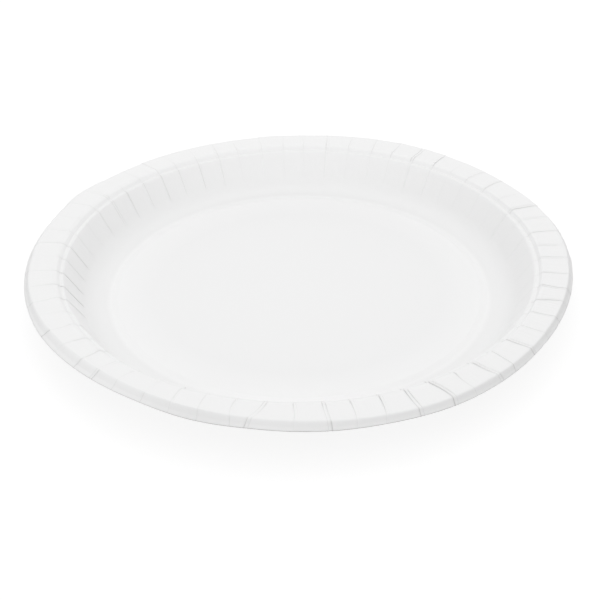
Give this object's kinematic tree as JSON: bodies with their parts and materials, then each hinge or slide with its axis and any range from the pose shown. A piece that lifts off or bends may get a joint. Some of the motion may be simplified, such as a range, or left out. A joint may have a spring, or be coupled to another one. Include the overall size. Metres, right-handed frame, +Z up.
{
  "type": "paper plate",
  "caption": "Shallow round plate pressed from one sheet of white coated paperboard, with a scored wall, a pleated flat rim and a turned-down lip.",
  "frame": {"origin": "middle of the plate, on the table that its foot stands on", "axes": "+Z up along the plate's axis, out of the dish; +X to the right and -Y towards the viewer in the picture"},
  "size_m": [0.23, 0.23, 0.0191],
  "materials": {
    "coated_paperboard": "white clay-coated board with a soft gloss on its upper face"
  },
  "bodies": {
    "root": {"plate": "coated_paperboard"}
  },
  "joints": []
}
